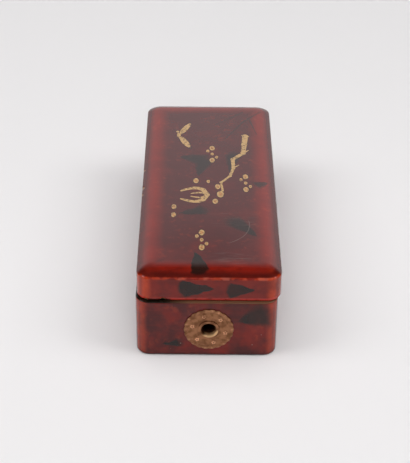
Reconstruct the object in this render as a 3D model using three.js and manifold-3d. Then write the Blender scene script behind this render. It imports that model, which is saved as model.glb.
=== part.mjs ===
// A long lacquered wooden box with a lift-off lid, and a round brass rosette with an eyelet on its front end.
// Millimetres, +Z up. The origin is the middle of the tray's underside, -Y is the front end with the rosette,
// and the box is longest along Y.

import * as THREE from 'three';
import { mergeVertices } from 'three/addons/utils/BufferGeometryUtils.js';
import Module from 'manifold-3d';

const wasm = await Module();
wasm.setup();

// Tray
const trayWidth = 75;
const trayLength = 181;
const trayHeight = 35.25;
const cornerRadius = 7.4;
const floorThickness = 4;
const footEase = 1.1;
const rimEase = 0.7;
const coveRadius = 2.5;
const leastRadius = 1;

// Upstanding lip inside the tray's rim, which keeps the lid in place
const lipThickness = 1.4;
const lipHeight = 4;
const lipEase = 0.5;
const lipClearance = 2.75;

// Lid
const lidOverhang = 0.5;
const lidSideHeight = 14;
const lidWall = 4.4;
const lidTopThickness = 4;
const lidLowerEase = 0.9;
const lidArris = 0.7;
const shoulderWidth = 12;
const shoulderRise = 3;
const shoulderPower = 3.2;
const shoulderMitre = 0.5;
const crownRise = 0.5;

// The lid lies a little askew: back until its front wall all but meets the lip, and over to the right
const frontGapToLip = 0.3;
const leftGapToLip = 1.7;

// Brass rosette plate on the front end, a little off the middle of it
const plateRadius = 13.3;
const plateThickness = 0.6;
const plateBevel = 0.25;
const plateOffset = 1.2;
const plateLift = 0.45;
const petalCount = 22;
const petalDepth = 0.45;
const stampCount = 6;
const stampRadius = 1.9;
const stampHollow = 0.5;
const stampSlope = 0.4;
const stampRise = 0.3;
const stampSink = 0.1;
const stampToEdge = 0.75;
const firstStampAngle = 47;

// Brass eyelet through the plate and the front wall
const boreRadius = 3.7;
const barrelWall = 1.3;
const barrelClearance = 0.3;
const barrelOverrun = 0.5;
const flangeReach = 0.9;
const flangeRise = 0.5;
const flangeEase = 0.25;
const mouthFlare = 1.1;
const mouthDepth = 3;

// How finely round stretches are faceted
const cornerSteps = 8;
const easeSteps = 3;
const shoulderSteps = 8;
const crownSteps = 3;
const roundSteps = 48;
const stampSteps = 12;
const pointsPerPetal = 6;
const bevelSteps = 2;

// How far a cutting solid runs past what it cuts
const overshoot = 1;

// What follows from the sizes above
const seatWidth = lidWall - lidOverhang + lipClearance;
const wallThickness = seatWidth + lipThickness;
const lidWidth = trayWidth + 2 * lidOverhang;
const lidLength = trayLength + 2 * lidOverhang;
const lidCornerRadius = cornerRadius + lidOverhang;
const lidInnerRadius = lidCornerRadius - lidWall;
const lidShiftRight = lipClearance - leftGapToLip;
const lidShiftBack = lipClearance - frontGapToLip;
const lipCornerRadius = lidInnerRadius - lidShiftRight;
const lidCeiling = lidSideHeight + shoulderRise + crownRise - lidTopThickness;
const frontFace = -trayLength / 2;
const plateHeight = trayHeight / 2 + plateLift;
const stampRing = plateRadius - petalDepth - stampToEdge - stampRadius;
const barrelRadius = boreRadius + barrelWall;
const boreholeRadius = barrelRadius + barrelClearance;
const flangeRadius = barrelRadius + flangeReach;

const lacquer = new THREE.MeshStandardMaterial({ color: 0x6e1f18, roughness: 0.2, metalness: 0 });
const brass = new THREE.MeshStandardMaterial({ color: 0x8a6540, roughness: 0.4, metalness: 1 });

// Outline of a rounded rectangle, seen in plan, with the same number of points whatever its size
function roundedOutline(width, length, radius) {
  const points = [];
  for (let corner = 0; corner < 4; corner += 1) {
    const sideX = corner === 0 || corner === 3 ? 1 : -1;
    const sideY = corner < 2 ? 1 : -1;
    for (let step = 0; step <= cornerSteps; step += 1) {
      const angle = (corner + step / cornerSteps) * (Math.PI / 2);
      points.push([
        sideX * (width / 2 - radius) + radius * Math.cos(angle),
        sideY * (length / 2 - radius) + radius * Math.sin(angle),
      ]);
    }
  }
  return points;
}

// Closed skin over a stack of rounded rectangles. Each level lies at a height z, a distance inset in from the
// outline, and its corners are tighter by the share mitre of that distance.
function loft(width, length, radius, levels) {
  const positions = [];
  const triangles = [];
  for (const { inset, z, mitre = 1 } of levels) {
    const levelRadius = Math.max(radius - mitre * inset, leastRadius);
    for (const [x, y] of roundedOutline(width - 2 * inset, length - 2 * inset, levelRadius)) {
      positions.push(x, y, z);
    }
  }
  const around = 4 * (cornerSteps + 1);
  for (let level = 0; level + 1 < levels.length; level += 1) {
    for (let k = 0; k < around; k += 1) {
      const a = level * around + k;
      const b = level * around + ((k + 1) % around);
      triangles.push(a, b, b + around, a, b + around, a + around);
    }
  }
  const top = (levels.length - 1) * around;
  for (let k = 1; k + 1 < around; k += 1) {
    triangles.push(0, k + 1, k);
    triangles.push(top, top + k, top + k + 1);
  }
  const geometry = new THREE.BufferGeometry();
  geometry.setAttribute('position', new THREE.Float32BufferAttribute(positions, 3));
  geometry.setIndex(triangles);
  return geometry;
}

// Levels of a rounded lower edge, from the lowest up
function easedFoot(radius, z) {
  return Array.from({ length: easeSteps + 1 }, (_, k) => {
    const angle = (k / easeSteps) * (Math.PI / 2);
    return { inset: radius * (1 - Math.sin(angle)), z: z + radius * (1 - Math.cos(angle)) };
  });
}

// Levels of a rounded upper edge, from the lowest up
function easedTop(radius, z) {
  return easedFoot(radius, 0)
    .reverse()
    .map(({ inset, z: drop }) => ({ inset, z: z - drop }));
}

function toSolid(geometry) {
  const bare = geometry.index ? geometry.clone() : geometry;
  bare.deleteAttribute('normal');
  bare.deleteAttribute('uv');
  const merged = mergeVertices(bare, 1e-4);
  const mesh = new wasm.Mesh({
    numProp: 3,
    vertProperties: new Float32Array(merged.attributes.position.array),
    triVerts: new Uint32Array(merged.index.array),
  });
  return new wasm.Manifold(mesh);
}

function toGeometry(solid) {
  const mesh = solid.getMesh();
  const geometry = new THREE.BufferGeometry();
  geometry.setAttribute('position', new THREE.BufferAttribute(mesh.vertProperties, 3));
  geometry.setIndex(new THREE.BufferAttribute(mesh.triVerts, 1));
  geometry.computeVertexNormals();
  return geometry;
}

// Tray: floor and four walls in one piece, with the seat for the lid and the lip inside it
function makeTray() {
  const outside = loft(trayWidth, trayLength, cornerRadius, [
    ...easedFoot(footEase, 0),
    ...easedTop(rimEase, trayHeight),
  ]);
  const lip = loft(
    trayWidth - 2 * seatWidth,
    trayLength - 2 * seatWidth,
    lipCornerRadius,
    [{ inset: 0, z: trayHeight - overshoot }, ...easedTop(lipEase, trayHeight + lipHeight)],
  );
  const hollow = loft(
    trayWidth - 2 * wallThickness,
    trayLength - 2 * wallThickness,
    Math.max(cornerRadius - wallThickness, coveRadius),
    [...easedFoot(coveRadius, floorThickness), { inset: 0, z: trayHeight + lipHeight + overshoot }],
  );
  const borehole = new THREE.CylinderGeometry(
    boreholeRadius,
    boreholeRadius,
    wallThickness + 2 * overshoot,
    roundSteps,
  ).translate(plateOffset, frontFace + wallThickness / 2, plateHeight);
  return toGeometry(toSolid(outside).add(toSolid(lip)).subtract(toSolid(hollow)).subtract(toSolid(borehole)));
}

// Height of the lid's pillowed top above the arris, at a distance in from it
function shoulderHeight(inset) {
  return shoulderRise * (1 - (1 - inset / shoulderWidth) ** shoulderPower);
}

// Lid: four walls and a pillowed top in one piece, hollowed from below
function makeLid() {
  const shoulder = Array.from({ length: shoulderSteps }, (_, k) => {
    const inset = lidArris + (shoulderWidth - lidArris) * ((k + 1) / shoulderSteps) ** 1.5;
    return { inset, z: lidSideHeight + shoulderHeight(inset), mitre: shoulderMitre };
  });
  const crownWidth = lidWidth / 2 - shoulderWidth;
  const crown = Array.from({ length: crownSteps }, (_, k) => {
    const share = (k + 1) / (crownSteps + 1);
    return {
      inset: shoulderWidth + crownWidth * share,
      z: lidSideHeight + shoulderRise + crownRise * share * (2 - share),
      mitre: shoulderMitre,
    };
  });
  const outside = loft(lidWidth, lidLength, lidCornerRadius, [
    ...easedFoot(lidLowerEase, 0),
    ...easedTop(lidArris, lidSideHeight + shoulderHeight(lidArris)),
    ...shoulder,
    ...crown,
  ]);
  const hollow = loft(
    lidWidth - 2 * lidWall,
    lidLength - 2 * lidWall,
    lidInnerRadius,
    [{ inset: 0, z: -overshoot }, ...easedTop(coveRadius, lidCeiling)],
  );
  return toGeometry(toSolid(outside).subtract(toSolid(hollow)));
}

// Outline of the plate: a ring of shallow rounded petals, drawn small by the width of its bevel
function petalOutline() {
  const count = petalCount * pointsPerPetal;
  const points = Array.from({ length: count }, (_, k) => {
    const angle = (k / count) * 2 * Math.PI;
    const dip = 1 - Math.abs(Math.sin((angle * petalCount) / 2));
    const radius = plateRadius - plateBevel - petalDepth * dip;
    return new THREE.Vector2(radius * Math.cos(angle), radius * Math.sin(angle));
  });
  return new THREE.Shape(points);
}

// A closed ring turned about +Z, from its section's [radius, height] corners
function turnedRing(corners, steps) {
  const section = [...corners, corners[0]].map(([radius, height]) => new THREE.Vector2(radius, height));
  return new THREE.LatheGeometry(section, steps).rotateX(Math.PI / 2);
}

// Plate: a thin petalled disc that lies in z from 0 up, with a ring of small stamped eyes standing on it
function makePlate() {
  const disc = new THREE.ExtrudeGeometry(petalOutline(), {
    depth: plateThickness - plateBevel,
    bevelThickness: plateBevel,
    bevelSize: plateBevel,
    bevelSegments: bevelSteps,
    steps: 1,
  });
  const span = 2 * (plateRadius + overshoot);
  const backBevel = new THREE.BoxGeometry(span, span, overshoot).translate(0, 0, -overshoot / 2);
  const borehole = new THREE.CylinderGeometry(
    boreholeRadius,
    boreholeRadius,
    2 * (plateThickness + overshoot),
    roundSteps,
  ).rotateX(Math.PI / 2);
  let plate = toSolid(disc).subtract(toSolid(backBevel)).subtract(toSolid(borehole));
  const foot = plateThickness - stampSink;
  const crest = plateThickness + stampRise;
  const eye = turnedRing(
    [
      [stampHollow, foot],
      [stampRadius, foot],
      [stampRadius - stampSlope, crest],
      [stampHollow + stampSlope, crest],
    ],
    stampSteps,
  );
  for (let k = 0; k < stampCount; k += 1) {
    const angle = THREE.MathUtils.degToRad(firstStampAngle + (k * 360) / stampCount);
    const place = [stampRing * Math.cos(angle), stampRing * Math.sin(angle), 0];
    plate = plate.add(toSolid(eye.clone().translate(...place)));
  }
  return toGeometry(plate);
}

// Eyelet: a tube with a flange that bears on the plate and a flared mouth
function makeEyelet() {
  const front = plateThickness + flangeRise;
  const back = -(wallThickness + barrelOverrun);
  const eyelet = turnedRing(
    [
      [boreRadius, back],
      [barrelRadius, back],
      [barrelRadius, plateThickness],
      [flangeRadius, plateThickness],
      [flangeRadius, front - flangeEase],
      [flangeRadius - flangeEase, front],
      [boreRadius + mouthFlare, front],
      [boreRadius, front - mouthDepth],
    ],
    roundSteps,
  );
  return toGeometry(toSolid(eyelet));
}

function addPart(group, name, geometry, material) {
  const mesh = new THREE.Mesh(geometry, material);
  mesh.name = name;
  group.add(mesh);
  return mesh;
}

const box = new THREE.Group();

addPart(box, 'tray', makeTray(), lacquer);

const lid = addPart(box, 'lid', makeLid(), lacquer);
lid.position.set(lidShiftRight, lidShiftBack, trayHeight);

// The plate and the eyelet are made facing +Z, and turned to face out of the front end
for (const [name, geometry] of [['rosette_plate', makePlate()], ['eyelet', makeEyelet()]]) {
  const fitting = addPart(box, name, geometry.rotateX(Math.PI / 2), brass);
  fitting.position.set(plateOffset, frontFace, plateHeight);
}

export default box;
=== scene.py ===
from math import atan2, copysign, cos, hypot, pi, radians, sin

import bmesh
import bpy
from mathutils import Matrix, Vector


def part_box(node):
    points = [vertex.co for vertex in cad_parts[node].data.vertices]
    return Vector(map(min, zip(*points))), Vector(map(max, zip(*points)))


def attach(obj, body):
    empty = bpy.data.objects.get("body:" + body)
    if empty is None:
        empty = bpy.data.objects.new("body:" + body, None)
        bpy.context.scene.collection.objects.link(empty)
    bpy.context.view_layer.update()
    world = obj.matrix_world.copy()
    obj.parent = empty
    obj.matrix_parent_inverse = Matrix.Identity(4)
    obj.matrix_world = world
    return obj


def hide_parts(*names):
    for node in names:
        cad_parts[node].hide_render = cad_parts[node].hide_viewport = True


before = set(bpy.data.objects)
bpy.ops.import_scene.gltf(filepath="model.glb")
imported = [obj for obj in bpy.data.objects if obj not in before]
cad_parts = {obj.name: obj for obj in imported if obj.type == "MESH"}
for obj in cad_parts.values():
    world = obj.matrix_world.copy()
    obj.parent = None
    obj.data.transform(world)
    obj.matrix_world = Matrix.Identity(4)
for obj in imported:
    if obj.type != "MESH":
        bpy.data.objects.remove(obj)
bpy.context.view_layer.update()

# Tray, the lower half of the box: a hollow wooden core under many coats of red lacquer, rubbed through at
# its corners, with dark leaf shapes showing from a coat below. The seat, the lip that keeps the lid in
# place, the inside and the underside are lacquered black.
mm = 0.001
tray_low, tray_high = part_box("tray")
lid_low, lid_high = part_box("lid")
tray_size = (tray_high.x - tray_low.x, tray_high.y - tray_low.y)
rim_height = lid_low.z
lip_height = tray_high.z
tray_corner = 7.4 * mm
foot_ease = 1.1 * mm
rim_ease = 0.7 * mm
red_ledge = 2.6 * mm
seat_width = 6.65 * mm
lip_corner = 2.45 * mm
lip_ease = 0.45 * mm
tray_wall = 8.05 * mm
tray_floor = 4 * mm
inner_corner = 2.5 * mm
cove = 2.5 * mm
tightest_corner = 1 * mm
corner_steps = 14
ease_steps = 6
outside, inside = 0, 1


def quarter(radius, steps=ease_steps):
    """Steps round a quarter of a circle: how far in from the outline, and how far down from its top."""
    turns = [pi / 2 * step / steps for step in range(steps + 1)]
    return [(radius * (1 - sin(turn)), radius * (1 - cos(turn))) for turn in turns]


def extruded(mesh, edges):
    """Draws a loop of edges out by one strip, and returns the strip's far vertices, far edges and faces."""
    made = bmesh.ops.extrude_edge_only(mesh, edges=edges)["geom"]
    kinds = (bmesh.types.BMVert, bmesh.types.BMEdge, bmesh.types.BMFace)
    return [[item for item in made if isinstance(item, kind)] for kind in kinds]


def rounded_shell(mesh, size, levels, middle=(0, 0)):
    """Draws a rounded rectangle through its levels, and closes both ends. A level is how far in from the
    outline it is, its height, its corner radius, and the material slot of the strip that leads to it."""
    inset, height, corner, slot = levels[0]
    half_step = pi / (4 * corner_steps)
    loop = bmesh.ops.create_circle(
        mesh,
        segments=4 * corner_steps,
        radius=corner / cos(half_step),
        matrix=Matrix.Rotation(half_step, 4, "Z"),
    )
    for vert in loop["verts"]:
        for axis in (0, 1):
            vert.co[axis] += copysign(size[axis] / 2 - inset - corner, vert.co[axis]) + middle[axis]
        vert.co.z = height
    edges = list({edge for vert in loop["verts"] for edge in vert.link_edges})
    for face in bmesh.ops.contextual_create(mesh, geom=edges)["faces"]:
        face.material_index = slot
    for next_inset, next_height, next_corner, slot in levels[1:]:
        verts, edges, faces = extruded(mesh, edges)
        for vert in verts:
            for axis in (0, 1):
                place = vert.co[axis] - middle[axis]
                round_part = place - copysign(size[axis] / 2 - inset - corner, place)
                straight_part = copysign(size[axis] / 2 - next_inset - next_corner, place)
                vert.co[axis] = straight_part + round_part * next_corner / corner + middle[axis]
            vert.co.z = next_height
        for face in faces:
            face.material_index = slot
        inset, corner = next_inset, next_corner
    for face in bmesh.ops.contextual_create(mesh, geom=edges)["faces"]:
        face.material_index = slot
    bmesh.ops.recalc_face_normals(mesh, faces=mesh.faces)


def finished_piece(mesh, name, materials, crease=radians(42)):
    """Turns a bmesh into a smooth-shaded piece of the object, at the origin, whose flat faces stay flat."""
    data = bpy.data.meshes.new(name)
    mesh.to_mesh(data)
    mesh.free()
    for material in materials:
        data.materials.append(material)
    data.shade_smooth()
    data.set_sharp_from_angle(angle=crease)
    piece = bpy.data.objects.new(name, data)
    bpy.context.scene.collection.objects.link(piece)
    even = piece.modifiers.new("Even shading", "WEIGHTED_NORMAL")
    even.keep_sharp = True
    return piece


class Wet:
    """A node's output in a material, so that what is painted can be written as sums of other outputs."""

    def __init__(self, tree, output):
        self.tree = tree
        self.output = output

    def node(self, kind, inputs=(), output=0, **settings):
        """A new node of the given kind, with its settings, and the values or links of its sockets."""
        made = self.tree.nodes.new("ShaderNode" + kind)
        for name, value in settings.items():
            setattr(made, name, value)
        for key, value in dict(inputs).items():
            if isinstance(value, Wet):
                self.tree.links.new(value.output, made.inputs[key])
            elif made.inputs[key].type == "RGBA":
                made.inputs[key].default_value = (*value, 1)
            else:
                made.inputs[key].default_value = value
        return Wet(self.tree, made.outputs[output])

    def maths(self, operation, *others, clamped=False):
        return self.node("Math", enumerate((self, *others)), operation=operation, use_clamp=clamped)

    def __add__(self, other):
        return self.maths("ADD", other)

    def __sub__(self, other):
        return self.maths("SUBTRACT", other)

    def __rsub__(self, other):
        return self.node("Math", {0: other, 1: self}, operation="SUBTRACT")

    def __mul__(self, other):
        return self.maths("MULTIPLY", other)

    def __truediv__(self, other):
        return self.maths("DIVIDE", other)

    def __pow__(self, other):
        return self.maths("POWER", other)

    def __abs__(self):
        return self.maths("ABSOLUTE")

    __radd__ = __add__
    __rmul__ = __mul__

    def least(self, other):
        return self.maths("MINIMUM", other)

    def most(self, other):
        return self.maths("MAXIMUM", other)

    def fade(self, start, end, low=0.0, high=1.0):
        """Goes smoothly from low to high while this value goes from start to end."""
        values = enumerate((self, start, end, low, high))
        return self.node("MapRange", values, interpolation_type="SMOOTHSTEP")

    def axes(self):
        """The three parts of a position."""
        parts = self.node("SeparateXYZ", {0: self}).output.node
        return [Wet(self.tree, part) for part in parts.outputs]

    def along(self, origin, direction, unit):
        """How far a point lies from an origin in one direction, counted in units."""
        scaled = [part / unit for part in direction]
        offset = sum(part * place for part, place in zip(scaled, origin))
        return self.node("VectorMath", {0: self, 1: scaled}, output=1, operation="DOT_PRODUCT") - offset

    def distance(self, place, unit):
        """How far a point lies from a place, counted in units."""
        return self.node("VectorMath", {0: self, 1: place}, output=1, operation="DISTANCE") / unit

    def noise(self, size, detail=3.0, stretch=(1, 1, 1), output=0):
        """Cloudy variation with features of a size in metres, longer along an axis that is stretched."""
        grain = self.node("Mapping", {0: self, 3: [1 / (size * share) for share in stretch]})
        inputs = {"Vector": grain, "Scale": 1.0, "Detail": detail, "Roughness": 0.55}
        return self.node("TexNoise", inputs, output)

    def shifted(self, amount, size):
        """The same position, pushed about a little, so that what is painted has a hand-made edge."""
        cloud = self.noise(size, 2.0, output=1)
        drift = self.node("VectorMath", {0: cloud, 1: (0.5, 0.5, 0.5)}, operation="SUBTRACT")
        push = self.node("VectorMath", {0: drift, 3: amount}, operation="SCALE")
        return self.node("VectorMath", {0: self, 1: push}, operation="ADD")


def new_finish(name, **plain):
    """A new material with its own Principled shader, and the object coordinates to paint it by."""
    material = bpy.data.materials.new(name)
    material.use_nodes = True
    tree = material.node_tree
    shader = tree.nodes["Principled BSDF"]
    for socket, value in plain.items():
        shader.inputs[socket.replace("_", " ")].default_value = value
    coordinates = tree.nodes.new("ShaderNodeTexCoord")
    return material, shader, Wet(tree, coordinates.outputs["Object"])


def brush(shader, **sockets):
    """Links painted values to the shader's sockets."""
    for name, value in sockets.items():
        value.tree.links.new(value.output, shader.inputs[name.replace("_", " ")])


def laid_over(colour, under, mask):
    """A colour laid over another one where the mask is 1."""
    return mask.node("Mix", {0: mask, 6: under, 7: colour}, output=2, data_type="RGBA")


# The planes that a leaf shape can lie in, each as its own two directions
lying_on_top = ((1, 0, 0), (0, 1, 0))
standing_in_front = ((1, 0, 0), (0, 0, 1))
standing_on_side = ((0, 1, 0), (0, 0, 1))


def turned(plane, turn):
    """The two directions of a plane, turned within it, and the direction straight out of it."""
    first, second = (Vector(direction) for direction in plane)
    along = first * cos(turn) + second * sin(turn)
    across = second * cos(turn) - first * sin(turn)
    return along, across, first.cross(second)


def leaf_shape(point, plane, place, aim, length, width, depth=6 * mm):
    """How far a point is out from the middle of a pointed leaf with a cut stalk end: 1 on its outline."""
    stalk, side, out = turned(plane, aim)
    along = point.along(place, stalk, length / 2)
    across = point.along(place, side, width / 2)
    taper = ((1 - along) * 0.5).most(0.001) ** 0.7
    belly = 1 + across.fade(0.3, -0.3, 0, 0.35)
    shape = (abs(across) / (taper * belly)).most(along * -1 + across * across * 0.25).most(along)
    return shape.most(abs(point.along(place, out, depth)))


def under_leaves(point, leaves, softness):
    """Mask of the dark leaf shapes that show through from the under-layer, with soft edges."""
    nearest = None
    for leaf in leaves:
        shape = leaf_shape(point, *leaf)
        nearest = shape if nearest is None else nearest.least(shape)
    return nearest.fade(1 - softness, 1 + softness, 1.0, 0.0)


deep_red = (0.068, 0.0055, 0.0050)
clear_red = (0.190, 0.0085, 0.0030)
ember_orange = (0.580, 0.0560, 0.0080)
# A sooty dark red, used for real dark patches and also for painted shade
soot_and_shade_red = (0.026, 0.0034, 0.0026)
leaf_green = (0.0045, 0.0075, 0.0055)


def red_lacquer(name, size, middle, leaf_groups, rubbed_from, bareness, mottling, top_edge=None):
    """Old red lacquer, mottled, and rubbed to orange at the upright corners from a distance in. A piece with
    a top edge is clearer and brighter near its outline, partly its own colour and partly painted light on
    its shoulders, and is hardly rubbed above that edge."""
    material, shader, point = new_finish(name, IOR=1.41)
    x, y, z = point.axes()
    from_side = size[0] / 2 - abs(x - middle[0])
    from_end = size[1] / 2 - abs(y - middle[1])
    corner = from_side.most(from_end)

    cloud = point.noise(16 * mm, 4.0, (1, 1.5, 1))
    fleck = point.noise(3.2 * mm, 4.0, (1, 1, 1.3))
    patchy = point.noise(11 * mm, 3.0, (1.6, 1, 0.7))
    streaks = point.noise(2.2 * mm, 3.0, (9, 9, 1))

    clear = cloud.fade(0.36, 0.66)
    if top_edge:
        # Near a top's outline the red is painted clearer and brighter: partly the lacquer's colour, partly
        # painted light
        near_edge_clear_and_lit = from_side.least(from_end).fade(15 * mm, 6 * mm)
        clear = (near_edge_clear_and_lit * (0.55 + cloud * 0.9)).least(1.0)
    body_red = laid_over(clear_red, deep_red, clear)
    body_red = laid_over(clear_red, body_red, streaks.fade(0.48, 0.68) * 0.2)
    warm = fleck.fade(0.50, 0.74) * patchy.fade(0.45, 0.6) * mottling
    body_red = laid_over(ember_orange, body_red, warm)
    body_red = laid_over(soot_and_shade_red, body_red, patchy.fade(0.50, 0.32) * 0.17)

    bared = corner.fade(rubbed_from, rubbed_from * 0.55)
    bared = bared * corner.fade(rubbed_from * 0.26, rubbed_from * 0.42, 0.4, 1.0)
    if top_edge:
        bared = bared * z.fade(top_edge + 0.7 * mm, top_edge - 0.4 * mm, 0.12, 1.0)
    painted = laid_over(ember_orange, body_red, (bared * (0.28 + fleck * 0.8) * bareness).least(1.0))

    drifted = point.shifted(3.6 * mm, 7 * mm)
    for leaves, softness, strength in leaf_groups:
        shown = under_leaves(drifted, leaves, softness) * (0.7 + patchy * 0.4).least(strength)
        painted = laid_over(leaf_green, painted, shown)
    return material, shader, point, painted


def lacquer_gloss(shader, point, painted, wear):
    """Joins the painted colour to the shader, with the faint waves and rubbing of hand-polished lacquer."""
    waves = point.noise(9 * mm, 2.0)
    rubbing = point.noise(0.7 * mm, 3.0, (1, 9, 1))
    height = waves * 0.8 + rubbing * 0.05
    bumped = point.node("Bump", {"Height": height, "Distance": 0.05 * mm, "Strength": 0.6})
    gloss = 0.15 + rubbing.fade(0.5, 0.8) * 0.07 + wear * 0.3
    brush(shader, Base_Color=painted, Roughness=gloss, Normal=bumped)


soft_patches = [
    (standing_in_front, (25 * mm, tray_low.y, 25.5 * mm), radians(196), 17 * mm, 15 * mm),
    (standing_in_front, (-18 * mm, tray_low.y, 8 * mm), radians(184), 10 * mm, 4.5 * mm),
]
tray_leaves = [
    (standing_on_side, (tray_high.x, -38 * mm, 21 * mm), radians(34), 21 * mm, 12 * mm),
    (standing_on_side, (tray_high.x, 41 * mm, 14 * mm), radians(216), 17 * mm, 9 * mm),
    (standing_on_side, (tray_low.x, -12 * mm, 18 * mm), radians(-38), 20 * mm, 11 * mm),
    (standing_on_side, (tray_low.x, 58 * mm, 22 * mm), radians(150), 16 * mm, 10 * mm),
    (standing_on_side, (tray_high.x, -31 * mm, 17 * mm), radians(-50), 14 * mm, 8 * mm),
    (standing_on_side, (tray_high.x, 4 * mm, 28 * mm), radians(-12), 12 * mm, 5 * mm),
    (standing_on_side, (tray_low.x, -20 * mm, 24 * mm), radians(48), 13 * mm, 8 * mm),
    (standing_on_side, (tray_low.x, -62 * mm, 10 * mm), radians(8), 14 * mm, 6 * mm),
    (standing_in_front, (14 * mm, tray_high.y, 14 * mm), radians(36), 13 * mm, 8 * mm),
    (standing_in_front, (-8 * mm, tray_high.y, 20 * mm), radians(-28), 19 * mm, 11 * mm),
]
# Each group of leaf shapes goes with the softness of its outlines and the strength that it shows with
tray_groups = [(tray_leaves, 0.14, 0.93), (soft_patches, 0.42, 0.86)]
tray_red, tray_shader, tray_point, tray_paint = red_lacquer(
    "tray_red_lacquer",
    tray_size,
    middle=(0, 0),
    leaf_groups=tray_groups,
    rubbed_from=6.6 * mm,
    bareness=0.50,
    mottling=0.18,
)
tray_x, _, tray_z = tray_point.axes()
# Painted shadow: the red darkens towards the foot, where the box stands on the floor
foot_painted_shadow = tray_z.fade(2.6 * mm, 0.4 * mm) * 0.75
tray_paint = laid_over(soot_and_shade_red, tray_paint, foot_painted_shadow)
# The ledge on the rim's top is painted black, turning brown towards the right
ledge = tray_z.fade(rim_height - 0.5 * mm, rim_height - 0.1 * mm)
ledge_brown = (0.13, 0.062, 0.032)
ledge_black = (0.006, 0.005, 0.003)
ledge_paint = laid_over(ledge_brown, ledge_black, tray_x.fade(-24 * mm, -6 * mm))
tray_paint = laid_over(ledge_paint, tray_paint, ledge)
bare_specks = (0.45, 0.30, 0.24)
specks = tray_point.noise(1.5 * mm, 1.0).fade(0.80, 0.86)
tray_paint = laid_over(bare_specks, tray_paint, specks)
lacquer_gloss(tray_shader, tray_point, tray_paint, specks)

lamp_black = (0.0040, 0.0036, 0.0024)
worn_brown = (0.060, 0.036, 0.018)
black_lacquer, black_shader, black_point = new_finish("black_lacquer", IOR=1.5)
black_cloud = black_point.noise(14 * mm, 4.0, (2.2, 1, 1))
black_rub = black_point.noise(2 * mm, 3.0)
worn_olive = black_cloud.fade(0.50, 0.66) * black_rub.fade(0.35, 0.6) * 0.8
black_paint = laid_over(worn_brown, lamp_black, worn_olive)
brush(
    black_shader,
    Base_Color=black_paint,
    Roughness=0.30 + black_rub * 0.2,
    Normal=black_point.node("Bump", {"Height": black_rub, "Distance": 0.04 * mm, "Strength": 0.5}),
)

tray_mesh = bmesh.new()
tray_levels = [(foot_ease, 0, tray_corner - foot_ease, inside)]
tray_levels += [(inset, drop, tray_corner - inset, outside) for inset, drop in quarter(foot_ease)[1:]]
tray_levels += [
    (inset, rim_height - drop, tray_corner - inset, outside) for inset, drop in quarter(rim_ease)[::-1]
]
tray_levels += [(red_ledge, rim_height, tray_corner - red_ledge, outside)]
tray_levels += [(seat_width, rim_height, lip_corner, inside)]
tray_levels += [
    (seat_width + inset, lip_height - drop, lip_corner - inset, inside)
    for inset, drop in quarter(lip_ease)[::-1]
]
tray_levels += [
    (tray_wall - inset, lip_height - drop, inner_corner + inset, inside)
    for inset, drop in quarter(lip_ease)
]
tray_levels += [
    (tray_wall + inset, tray_floor + drop, max(inner_corner - inset, tightest_corner), inside)
    for inset, drop in quarter(cove)[::-1]
]
rounded_shell(tray_mesh, tray_size, tray_levels)
tray = finished_piece(tray_mesh, "lacquered_tray", [tray_red, black_lacquer])

# The hole for the eyelet is drilled right through the front wall
eyelet_low, eyelet_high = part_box("eyelet")
fitting_x = (eyelet_low.x + eyelet_high.x) / 2
fitting_z = (eyelet_low.z + eyelet_high.z) / 2
borehole_radius = 5.3 * mm
borehole_sides = 64
drill_mesh = bmesh.new()
bmesh.ops.create_cone(
    drill_mesh,
    cap_ends=True,
    segments=borehole_sides,
    radius1=borehole_radius,
    radius2=borehole_radius,
    depth=4 * tray_wall,
    matrix=Matrix.Translation((fitting_x, tray_low.y, fitting_z)) @ Matrix.Rotation(pi / 2, 4, "X"),
)
drill = finished_piece(drill_mesh, "drill", [tray_red, black_lacquer])
hole = tray.modifiers.new("Eyelet hole", "BOOLEAN")
hole.operation = "DIFFERENCE"
hole.solver = "EXACT"
hole.object = drill
tray.modifiers.move(1, 0)
tray.data = bpy.data.meshes.new_from_object(tray.evaluated_get(bpy.context.evaluated_depsgraph_get()))
tray.modifiers.clear()
bpy.data.objects.remove(drill)
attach(tray, "root")
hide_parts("tray")

# Lid, the upper half, of the same core and lacquer, with a gently pillowed top and black inside. Figures
# are laid on it in dull gold: a branch, a half-open blossom, buds and a winged insect. It lies askew.
lid_size = (lid_high.x - lid_low.x, lid_high.y - lid_low.y)
lid_middle = ((lid_high.x + lid_low.x) / 2, (lid_high.y + lid_low.y) / 2)
lid_corner = 7.9 * mm
lid_wall = 4.4 * mm
lid_inner_corner = 3.5 * mm
lid_side = 14 * mm
lid_lower_ease = 0.9 * mm
shoulder_width = 12 * mm
shoulder_rise = 3 * mm
shoulder_power = 3.2
crown_rise = 0.5 * mm
lid_top_thickness = 4 * mm
arris_radius = 0.9 * mm
arris_turn = radians(52)
shoulder_steps = 16
corner_tightening = 0.5


def shoulder_height(inset):
    """Height of the lid's top above its vertical side, at a distance in from its outline."""
    return shoulder_rise * (1 - (1 - min(inset / shoulder_width, 1)) ** shoulder_power)


def lid_level(inset, height, slot=outside, corner=None):
    """One level of the lid's shell, with its height measured from the lid's lower edge."""
    radius = max(lid_corner - corner_tightening * inset, tightest_corner) if corner is None else corner
    return inset, lid_low.z + height, radius, slot


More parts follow.
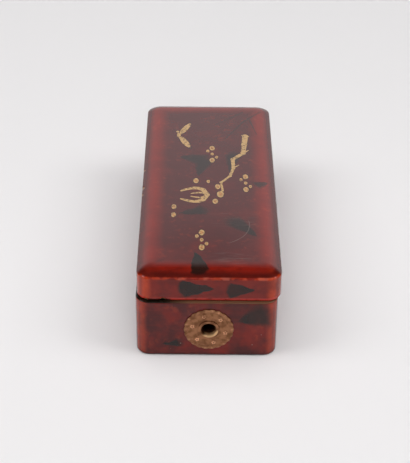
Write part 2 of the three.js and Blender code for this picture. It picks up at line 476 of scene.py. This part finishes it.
arris_inset = arris_radius * (1 - cos(arris_turn))
arris_top = lid_side + shoulder_height(arris_inset)
arris_foot = arris_top - arris_radius * sin(arris_turn)
ceiling = lid_high.z - lid_low.z - lid_top_thickness
lid_levels = [
    lid_level(lid_wall + inset, ceiling - drop, inside, max(lid_inner_corner - inset, tightest_corner))
    for inset, drop in quarter(cove)
]
lid_levels += [lid_level(lid_wall, 0, inside, lid_inner_corner)]
lid_levels += [
    lid_level(inset, drop, outside, lid_corner - inset) for inset, drop in quarter(lid_lower_ease)
]
lid_levels += [
    lid_level(
        arris_radius * (1 - cos(turn)),
        arris_foot + arris_radius * sin(turn),
    )
    for turn in (arris_turn * step / ease_steps for step in range(ease_steps + 1))
]
lid_levels += [
    lid_level(inset, lid_side + shoulder_height(inset))
    for inset in (
        arris_inset + (shoulder_width - arris_inset) * (step / shoulder_steps) ** 1.4
        for step in range(1, shoulder_steps + 1)
    )
]
lid_mesh = bmesh.new()
rounded_shell(lid_mesh, lid_size, lid_levels, lid_middle)

# The crown is a very low pillow, so the lid is cut across both ways and raised by its place in the plan
cut_step = 4 * mm
for axis, normal in ((0, (1, 0, 0)), (1, (0, 1, 0))):
    cuts = int(lid_size[axis] / cut_step / 2)
    for step in range(-cuts, cuts + 1):
        place = [middle + step * cut_step * (side == axis) for side, middle in enumerate(lid_middle)]
        every = [*lid_mesh.verts, *lid_mesh.edges, *lid_mesh.faces]
        bmesh.ops.bisect_plane(lid_mesh, geom=every, plane_co=(*place, 0), plane_no=normal)
for vert in lid_mesh.verts:
    if vert.co.z > lid_low.z + lid_side:
        share_x = min(abs(vert.co.x - lid_middle[0]) / (lid_size[0] / 2 - shoulder_width * 0.5), 1)
        share_y = min(abs(vert.co.y - lid_middle[1]) / (lid_size[1] / 2 - shoulder_width * 0.5), 1)
        vert.co.z += crown_rise * (1 - share_x**2) ** 2 * (1 - share_y**4) ** 2

# Chips along the lid's left upper edge and its lower front edge, which are first cut finer round them
left_edge = lid_low.x
front_edge = lid_low.y
cut_heights = (0.5 * mm, 1.2 * mm, 2.2 * mm, 3.4 * mm)
cuts_each_way = 4
for height in cut_heights:
    for place in (lid_low.z + height, lid_low.z + lid_side - height):
        every = [*lid_mesh.verts, *lid_mesh.edges, *lid_mesh.faces]
        bmesh.ops.bisect_plane(lid_mesh, geom=every, plane_co=(0, 0, place), plane_no=(0, 0, 1))
# Where each chip is, how far it reaches, how deep it goes, and which way in
chip_marks = [
    ((left_edge, 16.5 * mm, lid_low.z + lid_side), 1.6 * mm, 0.55 * mm, (1, 0, -0.4)),
    ((left_edge, -2.5 * mm, lid_low.z + lid_side), 2.2 * mm, 0.65 * mm, (1, 0, -0.4)),
    ((left_edge, -9.5 * mm, lid_low.z + lid_side), 1.4 * mm, 0.45 * mm, (1, 0, -0.4)),
    ((-23 * mm, front_edge, lid_low.z), 2.6 * mm, 0.8 * mm, (0, 0.6, 1)),
    ((-32 * mm, front_edge, lid_low.z), 2.0 * mm, 0.4 * mm, (0, 0.6, 1)),
]
for (chip_x, chip_y, chip_z), reach, depth, push in chip_marks:
    runs_along_y = chip_x == left_edge
    for step in range(-cuts_each_way, cuts_each_way + 1):
        offset = reach * step / cuts_each_way
        bmesh.ops.bisect_plane(
            lid_mesh,
            geom=[*lid_mesh.verts, *lid_mesh.edges, *lid_mesh.faces],
            plane_co=(chip_x, chip_y + offset, 0) if runs_along_y else (chip_x + offset, chip_y, 0),
            plane_no=(0, 1, 0) if runs_along_y else (1, 0, 0),
        )
    for vert in lid_mesh.verts:
        away = hypot(vert.co.x - chip_x, vert.co.y - chip_y, vert.co.z - chip_z) / reach
        if away < 1:
            fall = depth * (1 - away * away) ** 2
            vert.co.x += push[0] * fall
            vert.co.y += push[1] * fall
            vert.co.z += push[2] * fall

crisp_leaves = [
    (standing_in_front, (-5.5 * mm, lid_low.y, 43.3 * mm), radians(-2), 19 * mm, 9.5 * mm),
    (standing_in_front, (17.5 * mm, lid_low.y, 42.4 * mm), radians(-3), 15 * mm, 9 * mm),
    (standing_in_front, (11 * mm, lid_high.y, 42.5 * mm), radians(186), 17 * mm, 9 * mm),
    (standing_on_side, (lid_high.x, -52 * mm, 42 * mm), radians(-16), 18 * mm, 8 * mm),
    (standing_on_side, (lid_high.x, 30 * mm, 43 * mm), radians(203), 20 * mm, 8 * mm),
    (standing_on_side, (lid_low.x, -40 * mm, 43 * mm), radians(21), 19 * mm, 8 * mm),
    (standing_on_side, (lid_low.x, 47 * mm, 42 * mm), radians(152), 18 * mm, 8 * mm),
    (lying_on_top, (-5 * mm, -78 * mm, lid_high.z - 3 * mm), radians(97), 18 * mm, 10 * mm),
]
faint_leaves = [
    (lying_on_top, (-8 * mm, 25 * mm, lid_high.z), radians(160), 18 * mm, 11 * mm),
    (lying_on_top, (-3 * mm, 16 * mm, lid_high.z), radians(-105), 20 * mm, 9 * mm),
    (lying_on_top, (-8 * mm, -31 * mm, lid_high.z), radians(-165), 15 * mm, 8 * mm),
    (lying_on_top, (20 * mm, -45 * mm, lid_high.z), radians(-50), 22 * mm, 10 * mm),
    (lying_on_top, (31 * mm, -1 * mm, lid_high.z), radians(20), 8 * mm, 7 * mm),
    (lying_on_top, (15 * mm, 22 * mm, lid_high.z), radians(-100), 22 * mm, 8 * mm),
]
lid_groups = [(crisp_leaves, 0.13, 0.97), (faint_leaves, 0.42, 0.76)]
lid_red, lid_shader, lid_point, lid_paint = red_lacquer(
    "lid_red_lacquer",
    lid_size,
    middle=lid_middle,
    leaf_groups=lid_groups,
    rubbed_from=9 * mm,
    bareness=0.85,
    mottling=0.12,
    top_edge=lid_low.z + lid_side,
)

# Gold figures on the top, measured from its middle. Each is a distance that is 1 on the figure's outline,
# so that the nearest of them all gives one mask and one shading
brushed = lid_point.shifted(0.5 * mm, 2.5 * mm)
on_top = brushed.node("VectorMath", {0: brushed, 1: (*lid_middle, 0)}, operation="SUBTRACT")


def dab(x, y, wide, long, turn=0.0):
    """One touch of the brush: an oval."""
    first, second, _ = turned(lying_on_top, turn)
    across = on_top.along((x, y, 0), first, wide / 2)
    joined = across.node("CombineXYZ", {0: across, 1: on_top.along((x, y, 0), second, long / 2)})
    return joined.node("VectorMath", {0: joined}, output=1, operation="LENGTH")


def stroke(start, end, start_width, end_width):
    """One pull of the brush from a point to another, with round ends, that widens or narrows on its way."""
    length = hypot(end[0] - start[0], end[1] - start[1])
    half = start_width / 2
    forward, sideways, _ = turned(lying_on_top, atan2(end[1] - start[1], end[0] - start[0]))
    along = on_top.along((*start, 0), forward, length)
    held = along.maths("ADD", 0.0, clamped=True)
    spread = held * (end_width / start_width - 1) + 1
    joined = along.node(
        "CombineXYZ", {0: (along - held) * (length / half), 1: on_top.along((*start, 0), sideways, half)}
    )
    return joined.node("VectorMath", {0: joined}, output=1, operation="LENGTH") / spread


def nearest_of(shapes):
    """The least of all the shapes' distances. They are made one by one, so that few are held at a time."""
    nearest = next(shapes)
    for shape in shapes:
        nearest = nearest.least(shape)
    return nearest


# The figures are common ones. Buds grow in fives: a large one at each end, and three small ones in a bend
# between them. More buds stand in an arc about the blossom, and a pair near the left edge
bud_width = 3.0 * mm
small_bud_width = 1.9 * mm
bud_stretch = 1.7
bud_spacing = 3.4 * mm
bud_bend = 2.6 * mm
groups_of_five = ((2 * mm, 28 * mm), (21 * mm, -3 * mm), (-4 * mm, -60 * mm))
blossom_x, blossom_y = -1 * mm, -16 * mm
arc_widths = (bud_width, bud_width * 1.25, bud_width, small_bud_width, bud_width)
arc_x, arc_y = blossom_x - 4 * mm, blossom_y + 2 * mm
arc_reach_x, arc_reach_y = 11.5 * mm, 13 * mm
pair_x = -19.5 * mm
pair_ys = (-28 * mm, -36 * mm)
branch_start = (22 * mm, 50 * mm, 3.6 * mm)
branch_heading = -106
branch_swing = 24
branch_bends = 7
branch_taper = 0.85
outer_petal = (14.5 * mm, 3.0 * mm)
inner_petal = (9 * mm, 1.6 * mm)
petal_belly = 7 * mm
insect_x, insect_y = -18 * mm, 50 * mm


def bud(x, y, width):
    """One bud, longer than it is wide."""
    return dab(x, y, width, width * bud_stretch)


def bud_touches():
    """The groups of five, an arc of buds about the blossom, and a pair near the left edge."""
    for middle_x, middle_y in groups_of_five:
        for number in range(5):
            width = bud_width if number in (0, 4) else small_bud_width
            x = middle_x - bud_bend * sin(number * pi / 2)
            yield bud(x, middle_y + bud_spacing * (2 - number), width)
    for number, width in enumerate(arc_widths):
        turn = radians(36 * number - 42)
        yield bud(arc_x + arc_reach_x * cos(turn), arc_y + arc_reach_y * sin(turn), width)
    for y in pair_ys:
        yield bud(pair_x, y, bud_width * 0.9)


def branch_joints():
    """The branch from its cut end to the largest bud. Each joint is thinner and bends its own way."""
    x, y, width = branch_start
    joints = [branch_start]
    for number in range(branch_bends):
        heading = radians(branch_swing * sin(2.2 * number + 0.5) + branch_heading)
        length = (10.3 - 0.3 * number) * mm
        x += length * cos(heading)
        y += length * sin(heading)
        width *= branch_taper
        joints.append((x, y, width))
    return joints + [(blossom_x + 7.2 * mm, blossom_y + 1 * mm, width)]


def petal_line(spread):
    """One edge of the half-open blossom: it bellies out from the calyx, and closes a little at its tip."""
    reach, width = outer_petal if abs(spread) == 1 else inner_petal
    shares = [step / 6 for step in range(7)]
    return [
        (
            blossom_x - reach * share,
            blossom_y + petal_belly * spread * sin(2.5 * share**0.6),
            width * (1 - 0.5 * share**2),
        )
        for share in shares
    ]


branch = branch_joints()
petals = [petal_line(spread) for spread in (-1, -0.4, 0.3, 1)]
twigs = [[(x, y, width * 0.6), (x + 3.2 * mm, y + 3.4 * mm, width * 0.3)] for x, y, width in branch[2:6:2]]
dark_stems = [
    [(32 * mm, 80 * mm, 1.4 * mm), (21 * mm, 67 * mm, 1.3 * mm), (10 * mm, 46 * mm, 0.8 * mm)],
    [(21 * mm, 79 * mm, 1.2 * mm), (4 * mm, 63 * mm, 0.8 * mm)],
    [(25 * mm, 70 * mm, 1.1 * mm), (29 * mm, 52 * mm, 0.7 * mm)],
]


def oval_touches():
    """The insect's body, head and two wings, and the branch's cut end and knots."""
    yield dab(insect_x, insect_y, 2.2 * mm, 5.4 * mm, radians(8))
    yield dab(insect_x - 0.8 * mm, insect_y + 4.4 * mm, 1.7 * mm, 2.4 * mm)
    for side in (-1, 1):
        turn = radians(66 * side)
        wing_x = insect_x + 9 * mm * cos(turn)
        yield dab(wing_x, insect_y + 8.6 * mm * sin(turn), 3.6 * mm, 14 * mm, turn - pi / 2)
    yield dab(blossom_x, blossom_y, 2.4 * mm, 3.6 * mm)
    x, y, width = branch[0]
    yield dab(x, y, 1.35 * width, 0.5 * width, radians(-18))
    for x, y, width in branch[1:-1]:
        yield dab(x, y, 1.2 * width, 1.5 * width)


def strokes_along(paths):
    """The strokes that join the points of each path, which go with the widths there."""
    for path in paths:
        for (x1, y1, width1), (x2, y2, width2) in zip(path, path[1:]):
            yield stroke((x1, y1), (x2, y2), width1, width2)


nearest_dab = nearest_of(bud_touches())
drawn_lines = nearest_of(strokes_along([branch, *petals, *twigs]))
nearest_figure = nearest_dab.least(nearest_of(oval_touches())).least(drawn_lines)
gilding = lid_point.noise(1.1 * mm, 3.0)
gold = nearest_figure.fade(1.12, 0.90) * gilding.fade(0.35, 0.51, 0.22, 1.0)
pale_gold = (0.50, 0.31, 0.125)
rubbed_gold = (0.42, 0.17, 0.050)
rubbed_middles = nearest_dab.fade(0.75, 0.3) * 0.85
gold_paint = laid_over(rubbed_gold, pale_gold, rubbed_middles.most(gilding.fade(0.56, 0.70) * 0.6))
lid_paint = laid_over(soot_and_shade_red, lid_paint, nearest_figure.fade(1.5, 1.1) * 0.5)
lid_paint = laid_over(gold_paint, lid_paint, gold)

# Faint dark stems under the lacquer at the far right, a curved scratch, and fine rubbing nearer the front
stems = nearest_of(strokes_along(dark_stems))
lid_paint = laid_over(leaf_green, lid_paint, stems.fade(1.6, 0.5) * 0.5)
scratch_ring = dab(3 * mm, -45 * mm, 38 * mm, 38 * mm)
top_x, top_y, _ = on_top.axes()
scratch_part = top_x.fade(9 * mm, 13 * mm) * top_y.fade(-40 * mm, -43 * mm)
scratch = abs(scratch_ring - 1).fade(0.014, 0.006) * scratch_part
rub_part = abs(top_x - 13 * mm).fade(15 * mm, 11 * mm) * abs(top_y + 40 * mm).fade(9 * mm, 4 * mm)
rubbing_lines = lid_point.noise(0.45 * mm, 2.0, (60, 1, 1)).fade(0.60, 0.72) * rub_part
haze_lines = lid_point.noise(1.6 * mm, 3.0, (8, 1, 1)).fade(0.4, 0.7)
haze = dab(12 * mm, -76 * mm, 24 * mm, 12 * mm).fade(1.2, 0.3) * haze_lines
worn_pale = (0.21, 0.15, 0.13)
lid_paint = laid_over(worn_pale, lid_paint, scratch.most(rubbing_lines).most(haze * 0.6) * 0.35)

# Round the top edge painted shade darkens the red just inside the arris, and the arris at the sides and
# back.
# In front the arris is rubbed to orange in patches, partly painted highlight, under pale painted highlights
lid_x, lid_y, lid_z = lid_point.axes()
arris_z = lid_low.z + lid_side
above_arris = lid_z.fade(arris_z + 0.3 * mm, arris_z + 0.8 * mm)
inside_arris_shade = above_arris * lid_z.fade(arris_z + 2.7 * mm, arris_z + 1.3 * mm)
# Painted shade just inside the arris
lid_paint = laid_over(soot_and_shade_red, lid_paint, inside_arris_shade * 0.62)
front_shoulder = lid_y.fade(lid_low.y + 16 * mm, lid_low.y + 9 * mm)
smudges = lid_point.noise(8 * mm, 3.0, (1.6, 1, 1)).fade(0.45, 0.62) * front_shoulder
lid_paint = laid_over(soot_and_shade_red, lid_paint, smudges * 0.35)
on_arris = abs(lid_z - arris_z).fade(0.9 * mm, 0.3 * mm)
at_front = lid_y.fade(lid_low.y + 7 * mm, lid_low.y + 3 * mm)
# Painted shade on the arris at the sides and back
lid_paint = laid_over(soot_and_shade_red, lid_paint, on_arris * (1 - at_front) * 0.7)
# Orange rubbing on the front arris, partly a painted highlight
arris_rub_and_highlight = on_arris * at_front * lid_point.noise(5 * mm, 3.0).fade(0.46, 0.60)
lid_paint = laid_over(ember_orange, lid_paint, arris_rub_and_highlight * 0.36)
# Pale painted highlights in patches on the front arris
highlight_pale_orange = (0.66, 0.15, 0.09)
arris_painted_highlights = lid_point.noise(6 * mm, 1.0).fade(0.54, 0.66)
lid_paint = laid_over(highlight_pale_orange, lid_paint, on_arris * at_front * arris_painted_highlights * 0.34)

# Its lower edge is rubbed to scarlet all round, and sooty near the chips in front
rubbed_scarlet = (0.52, 0.036, 0.024)
near_foot = lid_z.fade(lid_low.z + 2.6 * mm, lid_low.z + 1.1 * mm)
lower_rub = near_foot * lid_point.noise(4 * mm, 3.0).fade(0.25, 0.5)
lid_paint = laid_over(rubbed_scarlet, lid_paint, lower_rub * 0.8)
near_chips = abs(lid_x + 25 * mm).fade(7 * mm, 5 * mm)
lower_soot = lid_z.fade(lid_low.z + 1.9 * mm, lid_low.z + 0.9 * mm) * near_chips
lid_paint = laid_over(lamp_black, lid_paint, lower_soot * at_front * 0.85)

# The chips bare the ground under the lacquer
bare_ground = (0.30, 0.165, 0.085)
chipped = lid_point.shifted(0.5 * mm, 1 * mm)
wear = nearest_of(chipped.distance(place, reach * 0.7) for place, reach, _, _ in chip_marks)
wear = wear.fade(1.1, 0.8)
lid_paint = laid_over(bare_ground, lid_paint, wear)
lacquer_gloss(lid_shader, lid_point, lid_paint, wear)

lid = finished_piece(lid_mesh, "lacquered_lid", [lid_red, black_lacquer], crease=radians(50))
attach(lid, "root")
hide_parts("lid")

# Rosette plate, a disc of thin brass stamped in a die, with a fluted, scalloped border and six flower-like
# eyes. It lies flat on the front end, held by the eyelet, polished where it is raised and brown elsewhere.
plate_low, plate_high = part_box("rosette_plate")
plate_radius = 13.3 * mm
plate_thickness = 0.6 * mm
plate_hole = 5.3 * mm
petal_count = 22
petal_depth = 0.45 * mm
border_width = 2.2 * mm
flute_rise = 0.14 * mm
groove_width = 0.3 * mm
groove_depth = 0.12 * mm
eye_count = 6
eye_ring = 9.0 * mm
eye_rise = 0.24 * mm
eye_rays = 5
first_eye = radians(47)
steps_round = petal_count * 10
steps_across = 36


def plate_relief(across, up):
    """Height of the stamped brass above its flat face, at a point measured from the plate's middle."""
    out = hypot(across, up)
    turn = atan2(up, across)
    petal_wave = (1 - abs(sin(petal_count * turn / 2))) ** 0.5
    past_groove = out - (plate_radius - border_width)
    border = min(max(past_groove / (border_width * 0.35), 0), 1)
    groove = max(1 - abs(past_groove) / groove_width, 0)
    height = flute_rise * border * petal_wave - groove_depth * groove
    for number in range(eye_count):
        eye_turn = first_eye + 2 * pi * number / eye_count
        x = across - eye_ring * cos(eye_turn)
        y = up - eye_ring * sin(eye_turn)
        away = hypot(x, y) / mm
        rays = 0.5 + 0.5 * cos(eye_rays * atan2(y, x) + number)
        reach = 1.15 + 0.55 * rays
        if away < reach:
            height += eye_rise * (1 - (away / reach) ** 4) * (1 - 0.9 * max(1 - away / 0.7, 0))
    return height


def stand_in_front(mesh, depth):
    """Turns a shape made lying flat so that its top faces the front, on the fitting's own middle line."""
    bmesh.ops.rotate(mesh, verts=mesh.verts, cent=(0, 0, 0), matrix=Matrix.Rotation(pi / 2, 3, "X"))
    bmesh.ops.translate(mesh, verts=mesh.verts, vec=(fitting_x, depth, fitting_z))


plate_mesh = bmesh.new()
plate_bevel = 0.25 * mm
back_ease = 0.3 * mm
plate_levels = [
    (plate_radius - inset, plate_thickness - drop) for inset, drop in quarter(plate_bevel, 4)[::-1]
]
flat_width = plate_radius - plate_bevel - plate_hole
plate_levels += [
    (plate_radius - plate_bevel - flat_width * step / steps_across, plate_thickness)
    for step in range(1, steps_across + 1)
]
plate_levels += [(plate_hole, 0)]
loop = bmesh.ops.create_circle(plate_mesh, segments=steps_round, radius=1)
first_edges = list({edge for vert in loop["verts"] for edge in vert.link_edges})
plate_verts, edges = loop["verts"], first_edges
for level, (radius, height) in enumerate([(plate_radius - back_ease, 0), *plate_levels]):
    if level:
        plate_verts, edges, _ = extruded(plate_mesh, edges)
    share = (radius - plate_hole) / (plate_radius - plate_hole)
    for vert in plate_verts:
        turn = atan2(vert.co.y, vert.co.x)
        pull = petal_depth * (1 - abs(cos(petal_count * turn / 2))) * share**6
        vert.co = ((radius - pull) * cos(turn), (radius - pull) * sin(turn), height)
        if height == plate_thickness:
            vert.co.z += plate_relief(vert.co.x, vert.co.y)
bmesh.ops.bridge_loops(plate_mesh, edges=first_edges + edges)
bmesh.ops.recalc_face_normals(plate_mesh, faces=plate_mesh.faces)
stand_in_front(plate_mesh, plate_high.y)


patina_brown = (0.39, 0.185, 0.095)
patina_dark = (0.22, 0.095, 0.046)


def brass(name, polish_and_highlight, polished_and_lit, smoothing):
    """Old brass: warm metal under a brown patina, brighter where the given function says: polished on the
    plate, and a painted highlight in the eyelet's mouth.
    """
    material, shader, point = new_finish(name, Metallic=1.0)
    bloom = point.noise(3.5 * mm, 4.0)
    pits = point.noise(0.6 * mm, 3.0)
    bright_polish_and_highlight = polish_and_highlight(point, bloom)
    tarnish = laid_over(patina_brown, patina_dark, bloom.fade(0.36, 0.60))
    metal = laid_over(polished_and_lit, tarnish, bright_polish_and_highlight)
    bumped = point.node("Bump", {"Height": pits + bloom, "Distance": 0.05 * mm, "Strength": 0.6})
    brush(shader, Base_Color=metal, Roughness=0.50 - bright_polish_and_highlight * smoothing + pits * 0.08, Normal=bumped)
    return material


def on_raised_parts(point, bloom):
    """Where the plate is polished: on what stands out from its flat face."""
    rise = (plate_high.y - plate_thickness - 0.05 * mm - point.axes()[1]) / (0.20 * mm)
    return (rise + (bloom - 0.5) * 1.2).fade(0.2, 1.1)


coppery = (0.82, 0.42, 0.24)
stamped_brass = brass("stamped_brass", on_raised_parts, coppery, smoothing=0.15)
plate = finished_piece(plate_mesh, "stamped_rosette", [stamped_brass], crease=radians(35))
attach(plate, "root")
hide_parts("rosette_plate")

# Eyelet, a brass tube turned out into a rounded flange on the front. It goes through the plate and the
# wall, and its mouth narrows like a funnel down to a dark bore.
flange_radius = 5.9 * mm
barrel_radius = 5.0 * mm
mouth_radius = 4.8 * mm
bore_radius = 3.5 * mm
mouth_depth = 3 * mm
lip_roll = 0.8 * mm
mouth_steps = 10
flange_thickness = eyelet_low.y * -1 - (plate_high.y * -1 + plate_thickness)
flange_ease = 0.24 * mm
spin_steps = 96
eyelet_length = eyelet_high.y - eyelet_low.y

front = eyelet_length
section = [(bore_radius, 0), (barrel_radius, 0), (barrel_radius, front - flange_thickness)]
section += [(flange_radius, front - flange_thickness)]
section += [(flange_radius - inset, front - drop) for inset, drop in quarter(flange_ease, 4)[::-1]]
section += [
    (mouth_radius - lip_roll + lip_roll * inset, front - lip_roll * drop)
    for inset, drop in quarter(1, mouth_steps)
]
section += [(bore_radius, front - mouth_depth)]


fitting_middle = (fitting_x, 0, fitting_z)
flattened = (1, 1000, 1)
lower_right = (0.40, 0, -0.92)


def lit_lower_mouth(point, bloom):
    """Where the eyelet shows a painted highlight: in its funnel, towards the lower right."""
    from_axis = point.node("Mapping", {0: point, 1: fitting_middle, 3: flattened}, vector_type="TEXTURE")
    out = from_axis.node("VectorMath", {0: from_axis}, output=1, operation="LENGTH")
    below = point.along(fitting_middle, lower_right, mm).fade(1.2, 3.2)
    funnel = (out + (bloom - 0.5) * (0.6 * mm)).fade(5.1 * mm, 4.6 * mm)
    return funnel * out.fade(3.52 * mm, 3.7 * mm) * below


eyelet_mesh = bmesh.new()
profile = [eyelet_mesh.verts.new((radius, 0, height)) for radius, height in section]
edges = [eyelet_mesh.edges.new(pair) for pair in zip(profile, profile[1:] + profile[:1])]
bmesh.ops.spin(
    eyelet_mesh,
    geom=profile + edges,
    cent=(0, 0, 0),
    axis=(0, 0, 1),
    angle=2 * pi,
    steps=spin_steps,
    use_merge=True,
)
bmesh.ops.remove_doubles(eyelet_mesh, verts=eyelet_mesh.verts, dist=0.001 * mm)
bmesh.ops.recalc_face_normals(eyelet_mesh, faces=eyelet_mesh.faces)
stand_in_front(eyelet_mesh, eyelet_high.y)
# A painted highlight on the lower side of the eyelet's funnel
highlight_yellow = (0.98, 0.67, 0.37)
turned_brass = brass("turned_brass", lit_lower_mouth, highlight_yellow, smoothing=-0.12)
eyelet = finished_piece(eyelet_mesh, "flanged_eyelet", [turned_brass], crease=radians(35))
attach(eyelet, "root")
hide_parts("eyelet")

# Studio: a plain pale floor, a glowing board behind the box, and soft lights overhead, in front and at its
# sides. None of it belongs to the box.
floor_reach = 6
floor_pale = (0.82, 0.805, 0.81)
floor_greyer = (0.80, 0.785, 0.79)
floor_mesh = bmesh.new()
bmesh.ops.create_grid(floor_mesh, x_segments=2, y_segments=2, size=floor_reach)
pale_floor, floor_shader, floor_point = new_finish("pale_floor", Roughness=0.7)
floor_shader.inputs["Specular IOR Level"].default_value = 0.2
brush(floor_shader, Base_Color=laid_over(floor_greyer, floor_pale, floor_point.noise(0.4, 2.0)))
floor = finished_piece(floor_mesh, "studio_floor", [pale_floor])
floor.modifiers.clear()

lit_place = Vector((0, 0, 0.03))


def softbox(name, place, size, brightness, mirrored=True):
    """A soft, evenly bright rectangular light that faces the box."""
    light = bpy.data.lights.new(name, "AREA")
    light.shape = "RECTANGLE"
    light.size, light.size_y = size
    light.energy = brightness * pi * size[0] * size[1]
    lamp = bpy.data.objects.new(name, light)
    lamp.location = place
    aim = lit_place - lamp.location
    lamp.rotation_euler = aim.to_track_quat("-Z", "Y").to_euler()
    lamp.visible_camera = False
    lamp.visible_glossy = mirrored
    bpy.context.scene.collection.objects.link(lamp)


# A glowing board stands behind the box, even up to a height and then fading out
board_size = (4.4, 1, 2.5)
board_middle = (0, 1.4, 1.27)
upright = Matrix.Rotation(pi / 2, 4, "X")
board_mesh = bmesh.new()
bmesh.ops.create_grid(board_mesh, x_segments=2, y_segments=2, size=0.5, matrix=upright)
bmesh.ops.scale(board_mesh, verts=board_mesh.verts, vec=board_size)
bmesh.ops.translate(board_mesh, verts=board_mesh.verts, vec=board_middle)
board_glow, board_shader, board_point = new_finish("glowing_board")
board_shader.inputs["Base Color"].default_value = (0, 0, 0, 1)
board_shader.inputs["Emission Strength"].default_value = 1.0
board_height = board_point.axes()[2]
glow = board_height.fade(0.93, 1.46, 0.99, 0.0) + board_height.fade(1.3, 2.1, 0.34, 0.0)
glow = glow * board_height.fade(0.3, 0.95, 0.74, 1.0)
brush(board_shader, Emission_Color=glow.node("CombineXYZ", {0: glow, 1: glow * 0.98, 2: glow}))
board = finished_piece(board_mesh, "studio_board", [board_glow])
board.modifiers.clear()
board.visible_diffuse = False
board.visible_camera = False

softbox("overhead_softbox", place=(0, 0.1, 1.8), size=(2.4, 2.0), brightness=1.62, mirrored=False)
softbox("front_fill", place=(0, -1.8, 0.95), size=(1.2, 0.8), brightness=3.1, mirrored=False)
softbox("left_softbox", place=(-1.5, -0.3, 1.6), size=(1.0, 1.0), brightness=4.2)
softbox("right_softbox", place=(1.5, -0.3, 1.6), size=(1.0, 1.0), brightness=4.2)
softbox("front_softbox", place=(0, -1.1, 1.7), size=(1.3, 0.6), brightness=1.6)

# The air behind the floor is pale, and lights nothing and mirrors in nothing
air_colour = (0.80, 0.79, 0.79, 1)
world = bpy.data.worlds.new("studio_air")
bpy.context.scene.world = world
world.use_nodes = True
world.node_tree.nodes["Background"].inputs["Color"].default_value = air_colour
world.cycles_visibility.diffuse = False
world.cycles_visibility.glossy = False
bpy.context.scene.view_settings.view_transform = "Standard"

# Camera, where the outline of the box says that it stood
camera_data = bpy.data.cameras.new("camera")
camera_data.lens = 100.72
camera_data.sensor_width = 36
camera = bpy.data.objects.new("camera", camera_data)
camera_place = (-5.281 * mm, -624.68 * mm, 449.841 * mm)
camera_yaw = radians(0.4091)
camera_pitch = radians(34.645)
camera_roll = radians(-0.7485)
camera.matrix_world = (
    Matrix.Translation(camera_place)
    @ Matrix.Rotation(-camera_yaw, 4, "Z")
    @ Matrix.Rotation(pi / 2 - camera_pitch, 4, "X")
    @ Matrix.Rotation(-camera_roll, 4, "Z")
)
bpy.context.scene.collection.objects.link(camera)
bpy.context.scene.camera = camera

bpy.context.view_layer.update()
